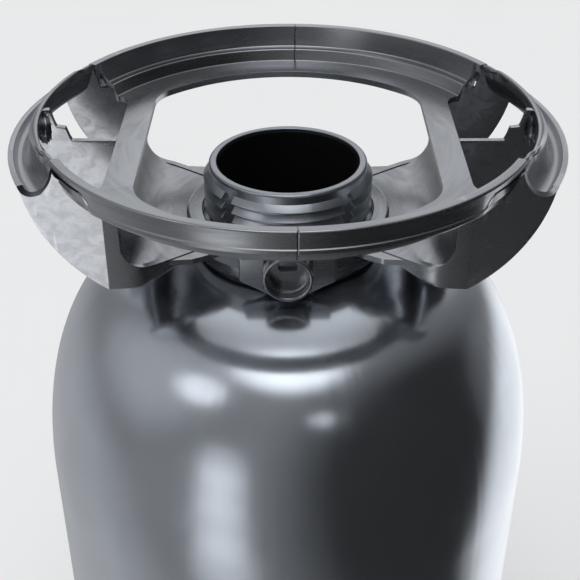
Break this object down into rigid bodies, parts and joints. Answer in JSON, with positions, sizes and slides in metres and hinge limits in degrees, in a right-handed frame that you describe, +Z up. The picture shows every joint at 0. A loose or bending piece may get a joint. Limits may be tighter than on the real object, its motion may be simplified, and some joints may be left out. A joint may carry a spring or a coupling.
{
  "type": "beverage keg",
  "caption": "Blow-moulded silver plastic beverage keg with an open threaded neck, a five-footed base and a round swivelling carry handle with two trough grips.",
  "frame": {"origin": "centre of the base on the floor, on the axis of the neck", "axes": "+Z up along the neck, -Y to the front where the socket is, the two grips at -X and +X"},
  "size_m": [0.2, 0.2, 0.38],
  "materials": {
    "silver_shell": "glossy metallic silver",
    "black_layer": "glossy black",
    "grey_moulding": "satin grey metallic"
  },
  "bodies": {
    "vessel": {"keg_body": "silver_shell", "barrier_liner": "black_layer"},
    "handle": {"rim_ring": "grey_moulding", "top_deck": "grey_moulding", "neck_hub": "grey_moulding", "front_socket": "grey_moulding", "left_arm": "grey_moulding", "right_arm": "grey_moulding", "left_grip": "grey_moulding", "right_grip": "grey_moulding", "left_front_gusset": "grey_moulding", "left_middle_gusset": "grey_moulding", "left_rear_gusset": "grey_moulding", "right_front_gusset": "grey_moulding", "right_middle_gusset": "grey_moulding", "right_rear_gusset": "grey_moulding"}
  },
  "joints": [
    {"name": "handle_swivel", "type": "hinge", "parent": "vessel", "child": "handle", "pos_m": [0, 0, 0.334], "axis": [0, 0, 1], "continuous": true}
  ]
}
